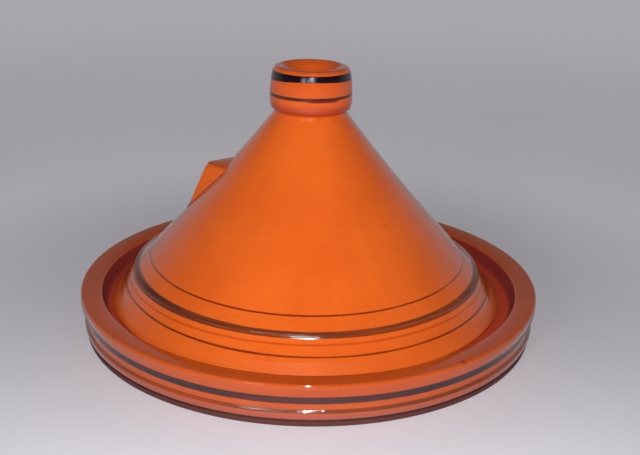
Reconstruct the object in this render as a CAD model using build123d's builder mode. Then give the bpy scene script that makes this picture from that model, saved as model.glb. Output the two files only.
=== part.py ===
from build123d import *
import math
import os

# Glazed earthenware tagine: a shallow round dish and a conical lid that rests in its gallery.
# Millimetres, +Z up. The origin is on the dish axis at table level.

# Dish
DISH_RIM_R = 160.0          # widest radius, at the rim edge
DISH_RIM_Z = 30.0           # rim top, also the height of the dish
DISH_RIM_IN_R = 146.4       # inner edge of the rim
DISH_RIM_FALL = 0.4         # the flat rim dips this much towards the pan
DISH_RIM_EDGE_H = 3.0       # upright band at the widest radius
RIM_OUT_ROUND = 1.9
RIM_IN_ROUND = 1.6
DISH_WALL_TOP_R = 158.4     # banded outer wall, middle height
DISH_WALL_MID_Z = 18.0
DISH_WALL_LOW_R = 158.0     # banded outer wall, just above its rolled lower edge
DISH_WALL_LOW_Z = 8.2
DISH_WALL_ROLL = (157.4, 6.0)  # middle of the rolled lower edge
DISH_CREVICE_R = 155.9      # crevice between glazed wall and bare foot
DISH_CREVICE_Z = 4.2
DISH_FOOT_R = 156.8         # bare clay foot band
DISH_FOOT_TOP_Z = 3.5
DISH_FOOT_BASE_R = 156.4
DISH_FOOT_ROUND = 1.4
GALLERY_Z = 20.5            # ledge the lid rests on
GALLERY_OUT_R = 144.0
GALLERY_IN_R = 125.5
GALLERY_OUT_ROUND = 2.4
GALLERY_IN_ROUND = 1.5
PAN_FLOOR_Z = 8.5
PAN_FLOOR_R = 104.0         # where the floor turns up into the pan wall
PAN_CURVE = (117.6, 13.1)   # middle of the curved pan wall

# Lid, a loose fit that rests a little to one side of the dish axis
LID_X = -2.0
LID_GAP = 0.3               # clearance between lid foot and gallery
LID_FOOT_Z = GALLERY_Z + LID_GAP
LID_EDGE_R = 134.2
LID_EDGE_IN_R = 127.6
LID_EDGE_ROUND = 1.4
LID_EDGE_IN_ROUND = 1.5
LID_WALL = 8.0              # wall thickness square to the slope
LID_INNER_LOW = 31.5        # inner slope starts this far down from the knee
LID_INNER_MIDDLE = (58.3, 97.0)
CONE_NECK = (24.3, 152.4)   # radius and height where the knob joins the cone
CONE_MIDDLE = (64.4, 102.3)
CONE_KNEE = (110.9, 50.4)   # below this the slope is straight
STEP_VALLEY = (118.7, 43.0)  # painted step round the lower cone
STEP_CREST = (121.5, 42.5)
STEP_GROOVE = (123.1, 38.5)
STEP_CREST_ROUND = 0.8
CONE_BROW = (134.8, 25.6)   # lower end of the slope, above the lid edge
CONE_CEILING = (22.1, 142.2)  # top corner of the hollow inside
CONE_CEILING_ROUND = 8.0

# Knob, cupped on top
KNOB_R = 27.9
KNOB_UNDERSIDE = (26.9, 155.2)
KNOB_BELLY_Z = 158.8        # top of the rounded underside
KNOB_TAPER_Z = 167.0        # above this the side leans inwards
KNOB_SIDE = (27.4, 173.2)
KNOB_SHOULDER = (26.3, 179.8)
KNOB_SHOULDER_ROUND = (24.6, 182.1)
KNOB_CREST = (20.8, 183.0)
CUP_LIP = (18.2, 182.1)
CUP_EDGE = (16.6, 179.8)
CUP_SIDE = (13.4, 174.9)
CUP_FLOOR_Z = 172.5
CUP_FLOOR_R = 7.0

# Side lug, a level-topped beak luted onto the cone
LUG_AZIMUTH = 175.5         # degrees from +X
LUG_TOP_Z = 112.0
LUG_TOE_Z = 72.0
LUG_TIP_R = 71.0            # reach at the level top
LUG_TOE_R = 91.8            # reach at the toe, where it runs into the cone
LUG_ROOT_HALF = 21.0        # half width deep in the root
LUG_ROOT_DEPTH = 24.0
LUG_TIP_HALF = 1.8
LUG_TIP_ROUND = 1.4
LUG_SPOKE = (math.cos(math.radians(LUG_AZIMUTH)), math.sin(math.radians(LUG_AZIMUTH)), 0)

LID_SECTION = Plane(origin=(LID_X, 0, 0), x_dir=(1, 0, 0), z_dir=(0, -1, 0))
LID_AXIS = Axis((LID_X, 0, 0), (0, 0, 1))


def round_corner(sketch, corner, radius):
    """Round the sketch corner nearest to the given radius and height."""
    fillet(sketch.vertices().sort_by_distance(Vertex(*corner, 0))[0], radius)


def on_slope(distance, rise):
    """Point a distance down the lower slope from the knee, raised square to it."""
    run = CONE_BROW[0] - CONE_KNEE[0]
    drop = CONE_KNEE[1] - CONE_BROW[1]
    length = math.hypot(run, drop)
    down = (run / length, -drop / length)
    out = (drop / length, run / length)
    return (
        CONE_KNEE[0] + distance * down[0] + rise * out[0],
        CONE_KNEE[1] + distance * down[1] + rise * out[1],
    )


def cone_outside():
    """Outer face of the cone from neck to brow, with its raised step."""
    ThreePointArc(CONE_NECK, CONE_MIDDLE, CONE_KNEE)
    Polyline(CONE_KNEE, STEP_VALLEY, STEP_CREST, STEP_GROOVE, CONE_BROW)


# Dish, one thrown body: foot, banded wall, flat rim, gallery and pan
with BuildPart() as dish:
    with BuildSketch(Plane.XZ) as dish_section:
        with BuildLine():
            Polyline(
                (0, PAN_FLOOR_Z),
                (0, 0),
                (DISH_FOOT_BASE_R, 0),
                (DISH_FOOT_R, DISH_FOOT_TOP_Z),
                (DISH_CREVICE_R, DISH_CREVICE_Z),
            )
            ThreePointArc(
                (DISH_CREVICE_R, DISH_CREVICE_Z),
                DISH_WALL_ROLL,
                (DISH_WALL_LOW_R, DISH_WALL_LOW_Z),
            )
            Polyline(
                (DISH_WALL_LOW_R, DISH_WALL_LOW_Z),
                (DISH_WALL_TOP_R, DISH_WALL_MID_Z),
                (DISH_RIM_R, DISH_RIM_Z - DISH_RIM_EDGE_H),
                (DISH_RIM_R, DISH_RIM_Z),
                (DISH_RIM_IN_R, DISH_RIM_Z - DISH_RIM_FALL),
                (GALLERY_OUT_R, GALLERY_Z),
                (GALLERY_IN_R, GALLERY_Z),
            )
            ThreePointArc((GALLERY_IN_R, GALLERY_Z), PAN_CURVE, (PAN_FLOOR_R, PAN_FLOOR_Z))
            Line((PAN_FLOOR_R, PAN_FLOOR_Z), (0, PAN_FLOOR_Z))
        make_face()
        round_corner(dish_section, (DISH_FOOT_BASE_R, 0), DISH_FOOT_ROUND)
        round_corner(dish_section, (DISH_RIM_R, DISH_RIM_Z), RIM_OUT_ROUND)
        round_corner(dish_section, (DISH_RIM_IN_R, DISH_RIM_Z), RIM_IN_ROUND)
        round_corner(dish_section, (GALLERY_OUT_R, GALLERY_Z), GALLERY_OUT_ROUND)
        round_corner(dish_section, (GALLERY_IN_R, GALLERY_Z), GALLERY_IN_ROUND)
    revolve(axis=Axis.Z)

# Lid cone, hollow, closed under the knob
with BuildPart() as lid_cone:
    with BuildSketch(LID_SECTION) as cone_section:
        with BuildLine():
            cone_outside()
            Polyline(
                CONE_BROW,
                (LID_EDGE_R, LID_FOOT_Z),
                (LID_EDGE_IN_R, LID_FOOT_Z),
                on_slope(LID_INNER_LOW, -LID_WALL),
                on_slope(0, -LID_WALL),
            )
            ThreePointArc(on_slope(0, -LID_WALL), LID_INNER_MIDDLE, CONE_CEILING)
            Polyline(CONE_CEILING, (0, CONE_CEILING[1]), (0, CONE_NECK[1]), CONE_NECK)
        make_face()
        round_corner(cone_section, (LID_EDGE_R, LID_FOOT_Z), LID_EDGE_ROUND)
        round_corner(cone_section, (LID_EDGE_IN_R, LID_FOOT_Z), LID_EDGE_IN_ROUND)
        round_corner(cone_section, CONE_CEILING, CONE_CEILING_ROUND)
        round_corner(cone_section, STEP_CREST, STEP_CREST_ROUND)
    revolve(axis=LID_AXIS)

# Knob, a short drum with a rounded shoulder and a cupped top
with BuildPart() as lid_knob:
    with BuildSketch(LID_SECTION):
        with BuildLine():
            Polyline((0, CUP_FLOOR_Z), (0, CONE_NECK[1]), CONE_NECK)
            ThreePointArc(CONE_NECK, KNOB_UNDERSIDE, (KNOB_R, KNOB_BELLY_Z))
            Line((KNOB_R, KNOB_BELLY_Z), (KNOB_R, KNOB_TAPER_Z))
            ThreePointArc((KNOB_R, KNOB_TAPER_Z), KNOB_SIDE, KNOB_SHOULDER)
            ThreePointArc(KNOB_SHOULDER, KNOB_SHOULDER_ROUND, KNOB_CREST)
            ThreePointArc(KNOB_CREST, CUP_LIP, CUP_EDGE)
            ThreePointArc(CUP_EDGE, CUP_SIDE, (CUP_FLOOR_R, CUP_FLOOR_Z))
            Line((CUP_FLOOR_R, CUP_FLOOR_Z), (0, CUP_FLOOR_Z))
        make_face()
    revolve(axis=LID_AXIS)

# Lug, lofted between two beak outlines and fitted to the outer face of the cone
with BuildPart() as lid_lug:
    for height, reach in ((LUG_TOE_Z, LUG_TOE_R), (LUG_TOP_Z, LUG_TIP_R)):
        with BuildSketch(Plane(origin=(LID_X, 0, height), x_dir=LUG_SPOKE, z_dir=(0, 0, 1))) as beak:
            with BuildLine():
                Polyline(
                    (reach, LUG_TIP_HALF),
                    (reach - LUG_ROOT_DEPTH, LUG_ROOT_HALF),
                    (reach - LUG_ROOT_DEPTH, -LUG_ROOT_HALF),
                    (reach, -LUG_TIP_HALF),
                    close=True,
                )
            make_face()
            fillet(beak.vertices().group_by(Axis.X)[-1], LUG_TIP_ROUND)
    loft()
    with BuildSketch(LID_SECTION):
        with BuildLine():
            cone_outside()
            Polyline(CONE_BROW, (0, CONE_BROW[1]), (0, CONE_NECK[1]), CONE_NECK)
        make_face()
    revolve(axis=LID_AXIS, mode=Mode.SUBTRACT)

dish.part.label = "dish"
lid_cone.part.label = "lid_cone"
lid_knob.part.label = "lid_knob"
lid_lug.part.label = "lid_lug"

os.makedirs("parts", exist_ok=True)
export_step(dish.part, "parts/dish.step")
export_step(lid_cone.part, "parts/lid_cone.step")
export_step(lid_knob.part, "parts/lid_knob.step")
export_step(lid_lug.part, "parts/lid_lug.step")
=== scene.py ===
"""Looks of a glazed earthenware tagine: a banded dish and a conical lid with a cupped knob and a lug."""

import math

import bpy
import numpy as np
from mathutils import Matrix, Vector


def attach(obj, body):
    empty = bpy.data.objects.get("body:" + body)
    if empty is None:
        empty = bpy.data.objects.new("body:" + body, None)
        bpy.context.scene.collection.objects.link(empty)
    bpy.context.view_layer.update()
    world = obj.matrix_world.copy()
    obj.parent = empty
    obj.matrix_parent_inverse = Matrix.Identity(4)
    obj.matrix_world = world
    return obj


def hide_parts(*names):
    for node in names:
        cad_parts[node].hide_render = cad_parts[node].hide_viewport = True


MM = 0.001
SEGMENTS = 360              # steps round every turned surface
WIDE_STEP = 1.7             # mm between points along the outlines of the dish and the cone
FINE_STEP = 0.6             # mm, the same on the knob
LID_AXIS_X = -2.2           # mm, the lid rests a little left of the dish axis
LID_AXIS_Y = -1.4           # mm, and a little in front of it
LEAN = math.radians(0.5)    # the cone is out of true towards +X
LEAN_FOOT = 21.0            # mm, below this height the lid is level
LEAN_REACH = 26.0           # mm over which the lean sets in

CAMERA_PLACE = (0.0, -0.66675, 0.30995)
CAMERA_LENS = 56.25
CAMERA_PITCH, CAMERA_YAW, CAMERA_ROLL = (math.radians(a) for a in (20.036, 0.604, 1.206))

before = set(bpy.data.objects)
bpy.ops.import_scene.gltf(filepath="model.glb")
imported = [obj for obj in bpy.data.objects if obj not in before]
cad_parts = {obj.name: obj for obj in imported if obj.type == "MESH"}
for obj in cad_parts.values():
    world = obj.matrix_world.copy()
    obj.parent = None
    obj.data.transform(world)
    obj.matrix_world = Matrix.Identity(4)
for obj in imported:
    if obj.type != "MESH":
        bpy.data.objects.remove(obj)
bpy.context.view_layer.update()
scene = bpy.context.scene


def add_object(name, data):
    """Link a new object to the scene."""
    item = bpy.data.objects.new(name, data)
    scene.collection.objects.link(item)
    return item


# ---------------------------------------------------------------- camera

def make_camera():
    """Camera two thirds of a metre in front of the pot, looking down at it by 20 degrees."""
    data = bpy.data.cameras.new("camera")
    data.sensor_width = 36.0
    data.lens = CAMERA_LENS
    data.clip_start = 0.05
    data.clip_end = 20.0
    camera = add_object("camera", data)
    turn = Matrix.Rotation(-CAMERA_YAW, 4, "Z")
    turn = turn @ Matrix.Rotation(math.pi / 2 - CAMERA_PITCH, 4, "X")
    turn = turn @ Matrix.Rotation(CAMERA_ROLL, 4, "Z")
    camera.matrix_world = Matrix.Translation(CAMERA_PLACE) @ turn
    scene.camera = camera


# ---------------------------------------------------------------- profiles

def rounded(corners, step=0.8):
    """Turn (radius, height, rounding) corners in mm into a dense smooth outline."""
    points = [np.array(c[:2], float) for c in corners]
    out = [points[0]]
    used = 0.0
    for i in range(1, len(points)):
        here = points[i]
        back = points[i - 1] - here
        back_length = np.linalg.norm(back)
        room = back_length - used
        if i < len(points) - 1:
            ahead = points[i + 1] - here
            ahead_length = np.linalg.norm(ahead)
            cosine = np.clip(back @ ahead / (back_length * ahead_length), -1, 1)
            turn = math.pi - math.acos(cosine)
            cut = min(corners[i][2] * math.tan(turn / 2), room * 0.98, ahead_length * 0.49)
        else:
            cut = 0.0
        start = here + back / back_length * cut
        out.extend(straight(out[-1], start, step))
        if cut > 1e-6:
            end = here + ahead / ahead_length * cut
            out.extend(bend(start, here, end, turn, step))
        used = cut
    return np.array(out)


def straight(a, b, step):
    """Points after a up to b."""
    count = max(1, int(np.linalg.norm(b - a) / step))
    return [a + (b - a) * k / count for k in range(1, count + 1)]


def bend(start, corner, end, turn, step):
    """Points of the circular arc from start to end, tangent to both sides of the corner."""
    cut = np.linalg.norm(corner - start)
    radius = cut / math.tan(turn / 2)
    inward = (start + end) / 2 - corner
    centre = corner + inward / np.linalg.norm(inward) * math.hypot(radius, cut)
    count = max(3, int(radius * turn / step), int(math.degrees(turn) / 12))
    a, b = start - centre, end - centre
    points = []
    for k in range(1, count + 1):
        t = k / count
        weight_a = math.sin((1 - t) * turn) / math.sin(turn)
        weight_b = math.sin(t * turn) / math.sin(turn)
        points.append(centre + a * weight_a + b * weight_b)
    return points


CONE_KNEE = (110.9, 50.4)   # where the cone's lower slope begins
SLOPE_FOOT = (134.8, 25.6)  # a point that the lower slope runs towards
CONE_WALL = 8.0             # thickness of the clay under the lower slope


def inner_slope(distance):
    """Radius and height on the lid's inside at a distance down the lower slope."""
    knee = np.array(CONE_KNEE)
    down = (np.array(SLOPE_FOOT) - knee) / np.linalg.norm(np.array(SLOPE_FOOT) - knee)
    out = np.array((-down[1], down[0]))
    return tuple(knee + distance * down - CONE_WALL * out)


# Each outline is (radius, height, corner rounding) in mm, with the clay on the left of the way it runs.
DISH_OUTLINE = [
    (0.0, 0.0, 0),
    (157.6, 0.0, 0.8),
    (157.8, 3.2, 0.7),
    (156.6, 4.0, 0.3),
    (158.3, 5.2, 1.0),
    (159.2, 9.4, 1.8),
    (157.8, 11.6, 1.2),
    (158.1, 15.0, 40),
    (158.8, 20.9, 60),
    (160.6, 26.2, 8.0),
    (160.9, 28.75, 1.0),
    (160.15, 30.0, 0.9),
    (152.0, 29.6, 60),
    (146.6, 28.7, 1.5),
    (144.2, 18.6, 2.8),
    (125.5, 18.6, 2.2),
    (119.5, 13.2, 12.0),
    (104.0, 8.7, 16.0),
    (60.0, 8.5, 0.5),
    (0.0, 8.5, 0),
]
CONE_INSIDE = [
    (0.0, 142.2, 0),
    (22.1, 142.2, 9.0),
    (58.3, 97.0, 600),
    (*inner_slope(0.0), 60),
    (*inner_slope(31.5), 4.0),
    (127.6, 19.0, 1.8),
    (130.8, 19.0, 1.0),
]
CONE_OUTSIDE = [
    (134.8, 19.0, 0.8),
    (136.7, 20.2, 0.8),
    (136.9, 22.0, 0.3),
    (131.6, 27.6, 20.0),
    (128.2, 31.8, 20.0),
    (121.5, 41.5, 0.5),
    (121.2, 42.6, 0.7),
    (118.6, 43.2, 1.6),
    (*CONE_KNEE, 8.0),
    (87.6, 76.2, 900),
    (65.7, 100.8, 700),
    (44.6, 126.3, 500),
    (24.9, 151.0, 2.4),
    (24.6, 153.6, 0.3),
    (0.0, 153.6, 0),
]
KNOB_OUTLINE = [
    (0.0, 153.1, 0),
    (24.8, 153.1, 0.8),
    (27.2, 155.0, 2.2),
    (27.9, 158.8, 4.5),
    (27.9, 166.5, 30),
    (27.3, 174.0, 60),
    (26.4, 179.4, 8.0),
    (25.0, 182.2, 2.4),
    (20.8, 183.1, 3.5),
    (16.6, 179.8, 3.0),
    (12.6, 174.4, 6.0),
    (7.0, 172.6, 6.0),
    (0.0, 172.5, 0),
]
CONE_LINE = rounded(CONE_OUTSIDE[2:13])[::-1]   # the cone's outer surface, from the neck down


# ---------------------------------------------------------------- turned pieces

def wobble(angle, seed, size):
    """Slow out-of-round error of hand throwing, in mm."""
    draw = np.random.default_rng(seed)
    total = np.zeros_like(angle)
    for waves in (2, 3, 4, 5, 7):
        depth = draw.uniform(0.4, 1.0) / waves
        total += depth * np.cos(waves * angle + draw.uniform(0, 2 * math.pi))
    return total * size


def finish_mesh(name, place, seen, faces):
    """Object from points in mm: place keeps where each point is on the ideal turned form."""
    mesh = bpy.data.meshes.new(name)
    mesh.from_pydata((seen * MM).tolist(), [], faces)
    mesh.polygons.foreach_set("use_smooth", [True] * len(mesh.polygons))
    mesh.attributes.new("place", "FLOAT_VECTOR", "POINT").data.foreach_set("vector", place.ravel())
    mesh.update()
    return add_object(name, mesh)


def turned(name, outline, seed, out_of_round, sway, shape=None):
    """Lathe an outline (mm) that starts and ends on the axis, with slight hand-made error."""
    angle = np.linspace(0, 2 * math.pi, SEGMENTS, endpoint=False)
    ring = outline[1:-1]
    rows = len(ring)
    spoke = np.stack([np.cos(angle), np.sin(angle)], -1)[None]
    flat = ring[:, 0][:, None, None] * spoke
    level = np.repeat(ring[:, 1][:, None], SEGMENTS, 1)
    place = np.concatenate([flat, level[..., None]], -1).reshape(-1, 3)
    swell = wobble(angle, seed, out_of_round)[None] * np.minimum(ring[:, 0] / 40, 1)[:, None]
    lift = wobble(angle, seed + 1, sway)[None] * np.clip(ring[:, 1] / 20, 0, 1)[:, None]
    seen = np.concatenate([flat + swell[..., None] * spoke, (level + lift)[..., None]], -1)
    seen = seen.reshape(-1, 3)
    poles = np.array([(0.0, 0.0, outline[0][1]), (0.0, 0.0, outline[-1][1])])
    place, seen = np.vstack([place, poles]), np.vstack([seen, poles])
    if shape:
        seen = shape(seen)
    start = (np.arange(rows - 1) * SEGMENTS)[:, None]
    here = np.arange(SEGMENTS)[None]
    after = (here + 1) % SEGMENTS
    quads = np.stack([start + here, start + after, start + SEGMENTS + after, start + SEGMENTS + here], -1)
    faces = quads.reshape(-1, 4).tolist()
    last = (rows - 1) * SEGMENTS
    for k in range(SEGMENTS):
        following = (k + 1) % SEGMENTS
        faces.append((rows * SEGMENTS, following, k))
        faces.append((rows * SEGMENTS + 1, last + k, last + following))
    return finish_mesh(name, place, seen, faces)


RIM_DIP = 0.8               # mm at the front of the rim


def dip(points):
    """The dish rim stands lower on the side facing -Y."""
    moved = points.copy()
    front = np.clip(-points[:, 1] / 160, 0, 1)
    high = np.clip((points[:, 2] - 12) / 16, 0, 1)
    moved[:, 2] -= RIM_DIP * front ** 2 * high
    return moved


def lean(points):
    """The cone stands half a degree out of true on its level foot, towards +X."""
    above = points[:, 2] - LEAN_FOOT
    share = np.clip(above / LEAN_REACH, 0, 1)
    share = LEAN * share * share * (3 - 2 * share)
    moved = points.copy()
    moved[:, 0] += share * above
    moved[:, 2] -= share * points[:, 0]
    return moved


def cone_radius(height):
    """Outer radius of the cone at a height, both in mm."""
    return float(np.interp(-height, -CONE_LINE[:, 1], CONE_LINE[:, 0]))


def cone_height(radius):
    """Outer height of the cone at a radius, both in mm."""
    return float(np.interp(radius, CONE_LINE[:, 0], CONE_LINE[:, 1]))


# ---------------------------------------------------------------- lug

LUG_AZIMUTH = 175.5         # degrees round the lid axis from +X
LUG_TOP = 112.0             # height of the edges of the top, in mm
LUG_ROOT = (47.0, 21.0)     # distance from the lid axis and half width, inside the cone
LUG_TIP = (71.2, 2.2)       # the same at the tip
LUG_TIP_ROUND = 2.6         # rounding of the tip, seen from above
LUG_LEAN = 0.42             # mm outwards for each mm down
LUG_EDGE = 1.7              # rounding of the top edge
LUG_ROOF = 0.31             # rise of the top from its edges to its middle, for each mm across
LUG_FILLET = 2.2            # clay smoothed down onto the cone
LUG_SPREAD = 0.9            # how far the smoothed clay stands out
LUG_DEEPEST = 46.0          # mm, more than the lug's full height
LUG_BITE = 0.6              # mm that the foot goes into the cone
LUG_EDGE_ROWS = 6           # rows of points over the rounded edge of the top
LUG_SIDE_ROWS = 26          # rows of points down the sides


def lug_plan():
    """Beak outline at the top, seen from above: distance from the lid axis and half width."""
    (root, root_half), (tip, tip_half) = LUG_ROOT, LUG_TIP
    left = [(root, root_half, 0), (tip, tip_half, LUG_TIP_ROUND)]
    right = [(tip, -tip_half, LUG_TIP_ROUND), (root, -root_half, 0)]
    return rounded(left + right, step=0.5)


def lug_reach(x, y):
    """How far below the top the side that starts at a plan point meets the cone."""
    fall = LUG_EDGE
    while fall < LUG_DEEPEST and math.hypot(x + LUG_LEAN * fall, y) > cone_radius(LUG_TOP - fall):
        fall += 0.1
    return fall


def lug_rows():
    """Rows of points from the top face's rim down to the cone, all in mm round the lid axis."""
    plan = lug_plan()
    along = np.gradient(plan, axis=0)
    normal = np.stack([-along[:, 1], along[:, 0]], 1)
    normal /= np.linalg.norm(normal, axis=1)[:, None]
    middle = len(plan) // 2
    if normal[middle, 0] < 0:
        normal = -normal
    rows = []
    for tilt in np.radians(np.linspace(0, 90, LUG_EDGE_ROWS)):
        inset = LUG_EDGE * (1 - math.sin(tilt))
        drop = LUG_EDGE * (1 - math.cos(tilt))
        shifted = plan - normal * inset
        rows.append(np.column_stack([shifted, np.full(len(plan), LUG_TOP - drop)]))
    reach = np.array([lug_reach(x, y) for x, y in plan])
    for share in np.linspace(0.06, 1.0, LUG_SIDE_ROWS):
        fall = LUG_EDGE + (reach - LUG_EDGE) * share
        left = np.clip(1 - (reach - fall) / LUG_FILLET, 0, 1)
        spread = LUG_SPREAD * left ** 2 * np.clip((reach - LUG_EDGE) / 3, 0, 1)
        side = plan + normal * spread[:, None]
        side[:, 0] += LUG_LEAN * fall
        rows.append(np.column_stack([side, LUG_TOP - fall]))
    foot = rows[-1].copy()
    for point in foot:
        point[2] = min(point[2], cone_height(math.hypot(point[0], point[1]))) - LUG_BITE
    rows.append(foot)
    return rows


def make_lug():
    """Beak with a low roof, luted onto the side of the cone."""
    rows = lug_rows()
    count = len(rows[0])
    half = count // 2
    points = [p for row in rows for p in row]
    faces = []
    for r in range(len(rows) - 1):
        for k in range(count - 1):
            a = r * count + k
            faces.append((a, a + 1, a + count + 1, a + count))
    ridge = len(points)
    points += [(x, 0.0, LUG_TOP + LUG_ROOF * abs(y)) for x, y, z in rows[0][:half]]
    for k in range(half - 1):
        faces.append((k + 1, k, ridge + k, ridge + k + 1))
        faces.append((ridge + k + 1, ridge + k, count - 1 - k, count - 2 - k))
    tip = ridge + half - 1
    if count % 2:
        faces.append((half, half - 1, tip))
        faces.append((half + 1, half, tip))
    else:
        faces.append((half, half - 1, tip))
    turn = np.array(Matrix.Rotation(math.radians(LUG_AZIMUTH), 3, "Z"))
    place = np.array(points) @ turn.T
    lug = finish_mesh("lug_glazed", place, lean(place), faces)
    # Darker along the top edge and roof, and painted shade in the crease where the foot meets the cone
    row = np.repeat(np.arange(len(rows)), count)
    steps = (0, 2, 4, 7, len(rows) - 5, len(rows) - 2)
    darkening = np.interp(row, steps, (0.3, 0.6, 0.3, 0.0, 0.0, 1.0))
    darkening = np.append(darkening, np.full(half, 0.4))
    lug.data.attributes.new("dark_edge_and_crease", "FLOAT", "POINT").data.foreach_set("value", darkening)
    return lug


# ---------------------------------------------------------------- materials

class Tree:
    """Short ways to build one shader tree."""

    def __init__(self, tree):
        self.tree = tree
        tree.nodes.clear()

    def add(self, kind, *inputs, out=0, **settings):
        """Add a node, set its properties and inputs, and return one of its outputs."""
        node = self.tree.nodes.new(kind)
        for name, value in settings.items():
            setattr(node, name, value)
        for index, value in enumerate(inputs):
            self.put(node.inputs[index], value)
        return node.outputs[out]

    def put(self, socket, value):
        """Link an output to a socket, or set the socket's own value."""
        if isinstance(value, bpy.types.NodeSocket):
            self.tree.links.new(value, socket)
        elif value is not None:
            socket.default_value = value

    def math(self, operation, a, b=0.0, clamp=False):
        return self.add("ShaderNodeMath", a, b, operation=operation, use_clamp=clamp)

    def vector(self, x, y, z):
        return self.add("ShaderNodeCombineXYZ", x, y, z)

    def noise(self, vector, scale, detail=2.0, roughness=0.5):
        """Smooth noise from 0 to 1 at a place."""
        node = self.tree.nodes.new("ShaderNodeTexNoise")
        self.put(node.inputs["Vector"], vector)
        self.put(node.inputs["Scale"], scale)
        self.put(node.inputs["Detail"], detail)
        self.put(node.inputs["Roughness"], roughness)
        return node.outputs["Fac"]

    def ramp(self, value, low, high, to_low=0.0, to_high=1.0):
        """Smooth step of a value between two limits."""
        node = self.tree.nodes.new("ShaderNodeMapRange")
        node.interpolation_type = "SMOOTHSTEP"
        for name, setting in (("Value", value), ("From Min", low), ("From Max", high),
                              ("To Min", to_low), ("To Max", to_high)):
            self.put(node.inputs[name], setting)
        return node.outputs["Result"]

    def mix(self, share, a, b):
        """Blend two colours."""
        node = self.tree.nodes.new("ShaderNodeMix")
        node.data_type = "RGBA"
        self.put(node.inputs[0], share)
        self.put(node.inputs[6], colour(a))
        self.put(node.inputs[7], colour(b))
        return node.outputs[2]


def colour(value):
    """Give a plain colour its alpha."""
    return (*value, 1.0) if isinstance(value, tuple) and len(value) == 3 else value


class Turned(Tree):
    """Shader tree that knows where it is on a turned piece, in mm."""

    def __init__(self, tree):
        super().__init__(tree)
        self.place = self.stored("place", 1)
        x = self.add("ShaderNodeSeparateXYZ", self.place, out=0)
        y = self.add("ShaderNodeSeparateXYZ", self.place, out=1)
        self.height = self.add("ShaderNodeSeparateXYZ", self.place, out=2)
        flat = self.vector(x, y, 0.0)
        self.radius = self.add("ShaderNodeVectorMath", flat, operation="LENGTH", out=1)
        self.spoke = self.add("ShaderNodeVectorMath", flat, operation="NORMALIZE")
        self.spoke_x = self.add("ShaderNodeSeparateXYZ", self.spoke, out=0)
        self.spoke_y = self.add("ShaderNodeSeparateXYZ", self.spoke, out=1)

    def stored(self, name, out=2):
        """A value stored on the mesh: output 1 is a vector, 2 a number."""
        return self.add("ShaderNodeAttribute", out=out, attribute_name=name, attribute_type="GEOMETRY")

    def round_noise(self, turns, rise, seed, detail=2.0, roughness=0.5):
        """Noise drawn out round the piece: cells per radian, and cells per mm of height."""
        level = self.math("MULTIPLY_ADD", self.height, rise)
        level.node.inputs[2].default_value = seed
        place = self.vector(
            self.math("MULTIPLY", self.spoke_x, turns),
            self.math("MULTIPLY", self.spoke_y, turns),
            level,
        )
        return self.noise(place, 1.0, detail, roughness)

    def drift(self, one_x, one_y, two):
        """Height error of a painted edge: a tilt towards X and Y, and a saddle, in mm."""
        tilt_x = self.math("MULTIPLY", self.spoke_x, one_x)
        tilt_y = self.math("MULTIPLY", self.spoke_y, one_y)
        across = self.math("MULTIPLY", self.spoke_x, self.spoke_x)
        saddle = self.math("SUBTRACT", self.math("MULTIPLY", across, 2.0), 1.0)
        return self.math("ADD", self.math("ADD", tilt_x, tilt_y), self.math("MULTIPLY", saddle, two))

    def edge(self, height, limit, soft, wander, seed, drift, rising):
        """One wandering, slightly soft edge of a painted band."""
        sway = self.math("SUBTRACT", self.round_noise(2.6, 0.0, seed, 3.0), 0.5)
        level = self.math("ADD", height, self.math("MULTIPLY", sway, wander * 2))
        if any(drift):
            level = self.math("SUBTRACT", level, self.drift(*drift))
        below, above = (0.0, 1.0) if rising else (1.0, 0.0)
        return self.ramp(level, limit - soft, limit + soft, below, above)

    def arc(self, azimuth, half):
        """Part of the way round, from one azimuth over half an angle each way, in degrees."""
        toward_x = self.math("MULTIPLY", self.spoke_x, math.cos(math.radians(azimuth)))
        toward_y = self.math("MULTIPLY", self.spoke_y, math.sin(math.radians(azimuth)))
        outer, inner = math.cos(math.radians(half + 6)), math.cos(math.radians(half - 6))
        return self.ramp(self.math("ADD", toward_x, toward_y), outer, inner)

    def band(self, low, high, soft=0.3, wander=0.3, seed=1.0, low_drift=(0, 0, 0), high_drift=(0, 0, 0)):
        """Painted band between two heights."""
        fine = self.math("SUBTRACT", self.noise(self.place, 0.9, 2.0), 0.5)
        height = self.math("ADD", self.height, self.math("MULTIPLY", fine, soft * 1.4))
        over = self.edge(height, low, soft, wander, seed, low_drift, True)
        under = self.edge(height, high, soft, wander, seed + 7.3, high_drift, False)
        return self.math("MULTIPLY", over, under)


# Linear colours. The first of each glaze pair is where it lies thin, the second where it lies thicker; the
# gallery pair is painted shade, the second, darker one against the inner wall of the rim.
LID_GLAZE = ((0.78, 0.132, 0.014), (0.60, 0.078, 0.006))
DISH_GLAZE = ((0.54, 0.084, 0.011), (0.41, 0.050, 0.005))
GALLERY_SHADE = ((0.50, 0.036, 0.003), (0.24, 0.009, 0.002))
# Dark red for pits in the glaze, and for painted shade in hollows
PIT_AND_SHADE_RED = (0.36, 0.026, 0.003)
# Brown for the lug's darker top edge and roof, and for painted shade in the crease at its foot
EDGE_AND_CREASE_BROWN = (0.20, 0.026, 0.008)
CLAY = (0.115, 0.022, 0.014)
CLAY_DARK = (0.060, 0.010, 0.007)
# Bare clay in painted shadow, for the crevice under the roll
CLAY_CREVICE_SHADOW = (0.035, 0.003, 0.003)
BLACK = (0.006, 0.002, 0.006)
DISH_BLACK = (0.030, 0.011, 0.013)
BROWN = (0.115, 0.024, 0.009)
DISH_BROWN = (0.13, 0.040, 0.022)
# Pinkish paint on the roll that stands for the reflection of the pale table
DISH_TABLE_REFLECTION = (0.36, 0.080, 0.052)
THIN = (0.15, 0.017, 0.003)
KNOB_LINE = (0.06, 0.011, 0.004)
KNOB_STROKE = (0.15, 0.008, 0.003)
RED_BLOT = (0.26, 0.008, 0.004)
SPECK = (0.10, 0.020, 0.006)


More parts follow.
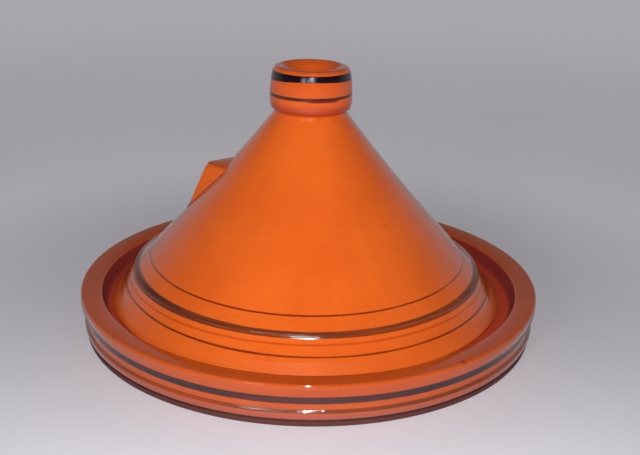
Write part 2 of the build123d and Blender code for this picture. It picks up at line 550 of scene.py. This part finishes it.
def glaze_body(t, bright, deep, dark_bands):
    """Orange glaze colour: slow clouds, wheel rings, faint runs, fine mottling, and darker bands at given
    heights that paint shade in hollows.
    """
    cloud = t.ramp(t.noise(t.place, 0.020, 3.0, 0.55), 0.35, 0.72)
    wheel = t.round_noise(1.2, 0.40, 4.0, 4.0, 0.6)
    run = t.ramp(t.round_noise(7.0, 0.012, 14.0, 3.0, 0.5), 0.35, 0.7)
    tint = t.math("ADD", t.math("MULTIPLY", cloud, 0.32), t.math("MULTIPLY", wheel, 0.18))
    tint = t.math("ADD", tint, t.math("MULTIPLY", run, 0.08), clamp=True)
    body = t.mix(tint, bright, deep)
    mottle = t.ramp(t.noise(t.place, 0.55, 4.0, 0.65), 0.50, 0.80, 0.0, 0.38)
    body = t.mix(mottle, body, deep)
    fleck = t.ramp(t.round_noise(34.0, 1.9, 61.0, 3.0, 0.6), 0.52, 0.75, 0.0, 0.42)
    body = t.mix(fleck, body, deep)
    # Darker bands: on the lid, painted shade round the neck under the knob, a painted shadow line below
    # the ridge, and darker rings on the knob
    for low, high, strength in dark_bands:
        darkening = t.band(low, high, (high - low) * 0.45, 0.15, 31.0 + low)
        body = t.mix(t.math("MULTIPLY", darkening, strength), body, PIT_AND_SHADE_RED)
    return body


BRUSH_KEYS = ("paint", "cover", "dull", "arc")
SKIN_SLOPE = 0.96           # a point is on the outer skin if radius + this share of its height is large


def paint_bands(t, body, bands, outside, skin):
    """Brushed bands over the glaze; returns the colour, where paint lies and how dull it is."""
    beyond = t.ramp(t.radius, outside, outside + 1.0)
    outer = t.math("ADD", t.radius, t.math("MULTIPLY", t.height, SKIN_SLOPE))
    beyond = t.math("MULTIPLY", beyond, t.ramp(outer, skin, skin + 1.0))
    stroke = t.round_noise(3.0, 2.4, 50.0, 5.0, 0.65)
    painted, dull = 0.0, 0.0
    for index, band in enumerate(bands):
        shape = {key: value for key, value in band.items() if key not in BRUSH_KEYS}
        mask = t.math("MULTIPLY", t.band(seed=11.0 + 3.7 * index, **shape), beyond)
        if "arc" in band:
            mask = t.math("MULTIPLY", mask, t.arc(*band["arc"]))
        cover = band.get("cover", 0.8)
        load = t.round_noise(1.1, 0.05, 80.0 + index, 2.0)
        streaks = t.ramp(stroke, 0.28, 0.62, cover, 1.06)
        patches = t.ramp(load, 0.3, 0.7, cover - 1, 0.04)
        mask = t.math("MULTIPLY", mask, t.math("ADD", streaks, patches), clamp=True)
        painted = t.math("ADD", painted, mask, clamp=True)
        dull = t.math("ADD", dull, t.math("MULTIPLY", mask, band.get("dull", 0.0)))
        body = t.mix(mask, body, band["paint"])
    return body, t.math("MULTIPLY", stroke, painted), dull


def add_marks(t, body, marks):
    """Kiln specks at (x, y, z, size, colour) in mm, and a thin scatter of pin points."""
    for x, y, z, size, paint in marks:
        away = t.add("ShaderNodeVectorMath", t.place, (x, y, z), operation="DISTANCE", out=1)
        away = t.math("ADD", away, t.math("MULTIPLY", t.noise(t.place, 1.1, 3.0), size * 0.9))
        body = t.mix(t.ramp(away, size * 0.6, size * 1.5, 0.85, 0.0), body, paint)
    cells = t.tree.nodes.new("ShaderNodeTexVoronoi")
    t.put(cells.inputs["Vector"], t.place)
    t.put(cells.inputs["Scale"], 0.16)
    rare = t.math("GREATER_THAN", t.add("ShaderNodeSeparateXYZ", cells.outputs["Color"], out=0), 0.72)
    speck = t.math("MULTIPLY", t.ramp(cells.outputs["Distance"], 0.03, 0.10, 0.5, 0.0), rare)
    return t.mix(speck, body, PIT_AND_SHADE_RED)


PAN_EDGE = (112.0, 124.0)   # radii between which the gallery's painted shade fades out to the pan's glaze


def gallery_painted_shade(t, body, gallery):
    """Painted shade where the lid sits, inside a radius: the glaze darker, most against the inner wall;
    returns the colour and where it lies.
    """
    inside = t.ramp(t.radius, gallery - 0.9, gallery, 1.0, 0.0)
    inner = t.math("MULTIPLY", inside, t.ramp(t.radius, *PAN_EDGE))
    # Painted shade: the glaze darkest against the inner wall of the rim
    shade = t.mix(t.ramp(t.radius, gallery - 6.0, gallery - 2.5), *GALLERY_SHADE)
    return t.mix(inner, body, shade), inner


def bare_clay(t, body):
    """Grainy unglazed clay where a piece is bare; returns the colour, where it lies and its grain."""
    bare = t.stored("bare")
    grain = t.noise(t.place, 1.6, 5.0, 0.7)
    clay = t.mix(t.ramp(grain, 0.3, 0.75), CLAY, CLAY_DARK)
    # Painted shadow in the crevice under the roll: the bare clay darker above 3.5 mm
    clay = t.mix(t.ramp(t.height, 2.9, 3.5), clay, CLAY_CREVICE_SHADOW)
    return t.mix(bare, body, clay), bare, grain


def glaze_roughness(t, bare, dull, worn, inner):
    """Glossy glaze, duller where it is bare, brushed or rubbed, and very dull in the gallery where its
    shade is painted.
    """
    gloss = t.ramp(t.noise(t.place, 0.08, 2.0), 0.3, 0.7, 0.035, 0.065)
    above = t.ramp(t.height, worn[0] - 1.5, worn[0] + 1.5)
    below = t.ramp(t.height, worn[1] - 1, worn[1] + 1, 1, 0)
    rough = t.math("ADD", gloss, t.math("MULTIPLY", bare, 0.70))
    rough = t.math("ADD", rough, dull)
    rough = t.math("ADD", rough, t.math("MULTIPLY", t.math("MULTIPLY", above, below), 0.24))
    return t.math("ADD", rough, t.math("MULTIPLY", inner, 0.90))


def glaze_bump(t, bare, grain, brushed):
    """Slow waves, wheel rings, orange peel, brush strokes and clay grain, in mm."""
    waves = t.noise(t.place, 0.10, 2.0, 0.5)
    rings = t.round_noise(1.0, 0.42, 9.0, 2.0)
    peel = t.noise(t.place, 0.9, 2.0, 0.5)
    relief = t.math("ADD", t.math("MULTIPLY", waves, 0.07), t.math("MULTIPLY", rings, 0.04))
    relief = t.math("ADD", relief, t.math("MULTIPLY", peel, 0.012))
    relief = t.math("ADD", relief, t.math("MULTIPLY", brushed, 0.06))
    relief = t.math("ADD", relief, t.math("MULTIPLY", t.math("MULTIPLY", grain, bare), 0.25))
    bump = t.tree.nodes.new("ShaderNodeBump")
    bump.inputs["Strength"].default_value = 1.0
    bump.inputs["Distance"].default_value = MM
    t.put(bump.inputs["Height"], relief)
    return bump.outputs["Normal"]


def glaze(name, colours, bands, outside, skin=0, marks=(), dark_bands=(), worn=(0, 0), gallery=0):
    """Glossy glaze over clay with painted bands. Sizes and places are in mm.

    colours: the glaze where thin and where thicker; bands: keyword sets for Turned.band with paint, cover,
    dull and arc;
    outside: bands lie beyond this radius; skin: and only where radius + SKIN_SLOPE * height is over this;
    marks: (x, y, z, size, colour); dark_bands: (low, high, strength) heights painted darker, as painted
    shade in hollows;
    worn: heights of a rubbed edge; gallery: radius inside which the glaze is darkened as painted shade.
    """
    material = bpy.data.materials.new(name)
    material.use_nodes = True
    t = Turned(material.node_tree)
    body = glaze_body(t, *colours, dark_bands)
    inner = 0.0
    if gallery:
        body, inner = gallery_painted_shade(t, body, gallery)
    # Darker brown on the lug's top edge and roof, and painted shade in the crease where it meets the cone
    body = t.mix(t.math("MULTIPLY", t.stored("dark_edge_and_crease"), 0.75), body, EDGE_AND_CREASE_BROWN)
    body = add_marks(t, body, marks)
    body, brushed, dull = paint_bands(t, body, bands, outside, skin)
    body, bare, grain = bare_clay(t, body)

    shader = t.tree.nodes.new("ShaderNodeBsdfPrincipled")
    t.put(shader.inputs["Base Color"], body)
    t.put(shader.inputs["Roughness"], glaze_roughness(t, bare, dull, worn, inner))
    t.put(shader.inputs["Normal"], glaze_bump(t, bare, grain, brushed))
    shader.inputs["IOR"].default_value = 1.52
    output = t.tree.nodes.new("ShaderNodeOutputMaterial")
    t.tree.links.new(shader.outputs[0], output.inputs[0])
    return material


def make_dish_glaze():
    """Orange-brown glaze of the dish: a dark band and a thin brown one on its wall, and a pinkish band on
    the roll below that paints the reflection of the pale table.
    """
    return glaze(
        "dish_glaze", DISH_GLAZE, outside=150.0, gallery=146.9,
        bands=[
            dict(low=15.6, high=20.6, soft=0.5, wander=0.4, paint=DISH_BLACK, cover=0.90, dull=0.2),
            dict(low=9.4, high=11.6, soft=0.4, wander=0.3, paint=DISH_BROWN, cover=0.7),
            # Pinkish band on the roll: a painted reflection of the pale table
            dict(low=3.6, high=9.0, soft=0.9, wander=0.2, paint=DISH_TABLE_REFLECTION, cover=0.6),
        ],
        marks=[(93.4, -128.8, 29.8, 2.6, RED_BLOT), (19.1, -158.9, 29.4, 0.9, SPECK)],
    )


def make_lid_glaze():
    """Bright orange glaze of the lid: bands low on the cone, two lines and a black band on the knob."""
    return glaze(
        "lid_glaze", LID_GLAZE, outside=22.5, skin=154.5, worn=(17.0, 28.5),
        bands=[
            dict(low=50.25, high=51.05, soft=0.26, wander=0.2, paint=THIN,
                 low_drift=(0, 0, 0.5), high_drift=(0, 0, 0.5)),
            dict(low=40.2, high=43.7, soft=0.2, wander=0.15, paint=BROWN, cover=0.74, dull=0.06,
                 high_drift=(-0.15, 0, 0.6)),
            dict(low=31.3, high=32.3, soft=0.3, wander=0.2, paint=THIN,
                 low_drift=(-1.2, 0, 0.7), high_drift=(-1.2, 0, 0.7)),
            dict(low=163.9, high=166.0, soft=0.25, wander=0.3, paint=KNOB_LINE, cover=0.9,
                 low_drift=(0.5, 0, 0), high_drift=(0.3, 0, 0)),
            dict(low=163.1, high=164.5, soft=0.25, wander=0.1, paint=KNOB_STROKE, arc=(-72, 20)),
            dict(low=175.2, high=180.1, soft=0.18, wander=0.2, paint=BLACK, cover=1.0,
                 low_drift=(0.4, 0, -0.9)),
        ],
        marks=[
            (44.3, -39.6, 108.0, 0.8, SPECK), (50.8, -55.8, 89.5, 0.8, SPECK),
            (-61.5, -5.0, 112.0, 1.1, SPECK), (-57.0, -9.5, 112.0, 1.0, SPECK),
            (26.2, -60.1, 100.8, 0.6, PIT_AND_SHADE_RED), (20.6, -73.0, 89.1, 0.6, PIT_AND_SHADE_RED),
        ],
        # Darker bands: painted shade round the neck under the knob, a painted shadow line below the ridge,
        # a darker line on the knob's crest and a light darkening over the whole knob
        dark_bands=[(153.0, 159.0, 0.85), (36.6, 37.6, 0.55), (182.75, 183.6, 0.85), (158.0, 190.0, 0.26)],
    )


DISH_BARE_TOP = 4.4         # mm, the dish's foot is unglazed up to here
LID_BARE_TOP = 19.5         # mm, and so is the edge that the lid stands on


def mark_bare(piece, top):
    """Store where a piece is unglazed clay: below a height in mm."""
    mesh = piece.data
    place = np.zeros(len(mesh.vertices) * 3)
    mesh.attributes["place"].data.foreach_get("vector", place)
    share = np.clip((top - place.reshape(-1, 3)[:, 2]) / 0.3, 0, 1)
    mesh.attributes.new("bare", "FLOAT", "POINT").data.foreach_set("value", share)


# ---------------------------------------------------------------- floor and light

def make_floor():
    """Pale table top, glowing more with distance from the pot as painted light."""
    mesh = bpy.data.meshes.new("floor")
    reach = 6.0
    corners = [(-reach, -reach, 0), (reach, -reach, 0), (reach, reach, 0), (-reach, reach, 0)]
    mesh.from_pydata(corners, [], [(0, 1, 2, 3)])
    floor = add_object("floor", mesh)
    material = bpy.data.materials.new("pale_floor")
    material.use_nodes = True
    t = Tree(material.node_tree)
    place = t.add("ShaderNodeTexCoord", out=3)
    far = t.add("ShaderNodeVectorMath", place, operation="LENGTH", out=1)
    shader = t.tree.nodes.new("ShaderNodeBsdfPrincipled")
    shader.inputs["Base Color"].default_value = (0.79, 0.775, 0.83, 1.0)
    shader.inputs["Roughness"].default_value = 0.55
    shader.inputs["Emission Color"].default_value = (0.97, 0.95, 1.0, 1.0)
    # Painted light: the floor glows, more the further it is from the pot, so the far floor looks brighter
    glow = t.math("ADD", t.ramp(far, 0.12, 0.42, 0.0, 0.20), t.ramp(far, 0.36, 1.6, 0.0, 0.10))
    t.put(shader.inputs["Emission Strength"], glow)
    output = t.tree.nodes.new("ShaderNodeOutputMaterial")
    t.tree.links.new(shader.outputs[0], output.inputs[0])
    mesh.materials.append(material)


def make_world():
    """Soft room light: pale walls at the back and sides, dim behind the camera and overhead."""
    world = bpy.data.worlds.new("room")
    scene.world = world
    world.use_nodes = True
    t = Tree(world.node_tree)
    way = t.add("ShaderNodeTexCoord", out=0)
    x = t.add("ShaderNodeSeparateXYZ", way, out=0)
    y = t.add("ShaderNodeSeparateXYZ", way, out=1)
    z = t.add("ShaderNodeSeparateXYZ", way, out=2)
    side = t.math("ADD", t.math("MULTIPLY", t.math("ABSOLUTE", x), 0.25), y)
    back = t.ramp(side, 0.05, 0.75)
    low = t.ramp(z, 0.12, 0.60, 1.0, 0.10)
    share = t.math("MULTIPLY", back, low)
    shade = t.mix(share, (0.06, 0.06, 0.063), (0.44, 0.43, 0.45))
    background = t.tree.nodes.new("ShaderNodeBackground")
    t.put(background.inputs["Color"], shade)
    background.inputs["Strength"].default_value = 1.0
    output = t.tree.nodes.new("ShaderNodeOutputWorld")
    t.tree.links.new(background.outputs[0], output.inputs[0])


def make_light(name, kind, place, target, power, size, **settings):
    """A lamp at a place, in metres, aimed at a target."""
    data = bpy.data.lights.new(name, kind)
    data.energy = power
    if kind == "AREA":
        data.size = size
    else:
        data.shadow_soft_size = size
    for key, value in settings.items():
        setattr(data, key, value)
    lamp = add_object(name, data)
    lamp.location = place
    lamp.rotation_euler = (Vector(target) - Vector(place)).to_track_quat("-Z", "Y").to_euler()


def make_lights():
    """A small flash just above the camera, and a soft window behind it on the left."""
    make_light("flash", "SPOT", (0.0, -0.672, 0.362), (0.0, -0.08, 0.04), 18.0, 0.008,
               spot_size=math.radians(75), spot_blend=1.0)
    make_light("window", "AREA", (-0.38, -0.93, 0.36), (0.0, 0.0, 0.17), 0.8, 0.13)


make_camera()
make_floor()
make_world()
make_lights()

dish = turned("dish_glazed", rounded(DISH_OUTLINE, WIDE_STEP), 3, 0.22, 0.10, dip)
cone = turned("lid_cone_glazed", rounded(CONE_INSIDE + CONE_OUTSIDE, WIDE_STEP), 5, 0.25, 0.06, lean)
knob = turned("lid_knob_glazed", rounded(KNOB_OUTLINE, FINE_STEP), 9, 0.16, 0.0, lean)
lug = make_lug()
mark_bare(dish, DISH_BARE_TOP)
mark_bare(cone, LID_BARE_TOP)

dish.data.materials.append(make_dish_glaze())
lid_glaze = make_lid_glaze()
for piece in (cone, knob, lug):
    piece.data.materials.append(lid_glaze)
    piece.location = (LID_AXIS_X * MM, LID_AXIS_Y * MM, 0.0)

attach(dish, "dish")
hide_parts("dish")
for piece, node in ((cone, "lid_cone"), (knob, "lid_knob"), (lug, "lid_lug")):
    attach(piece, "lid")
    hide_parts(node)

scene.view_settings.view_transform = "Standard"
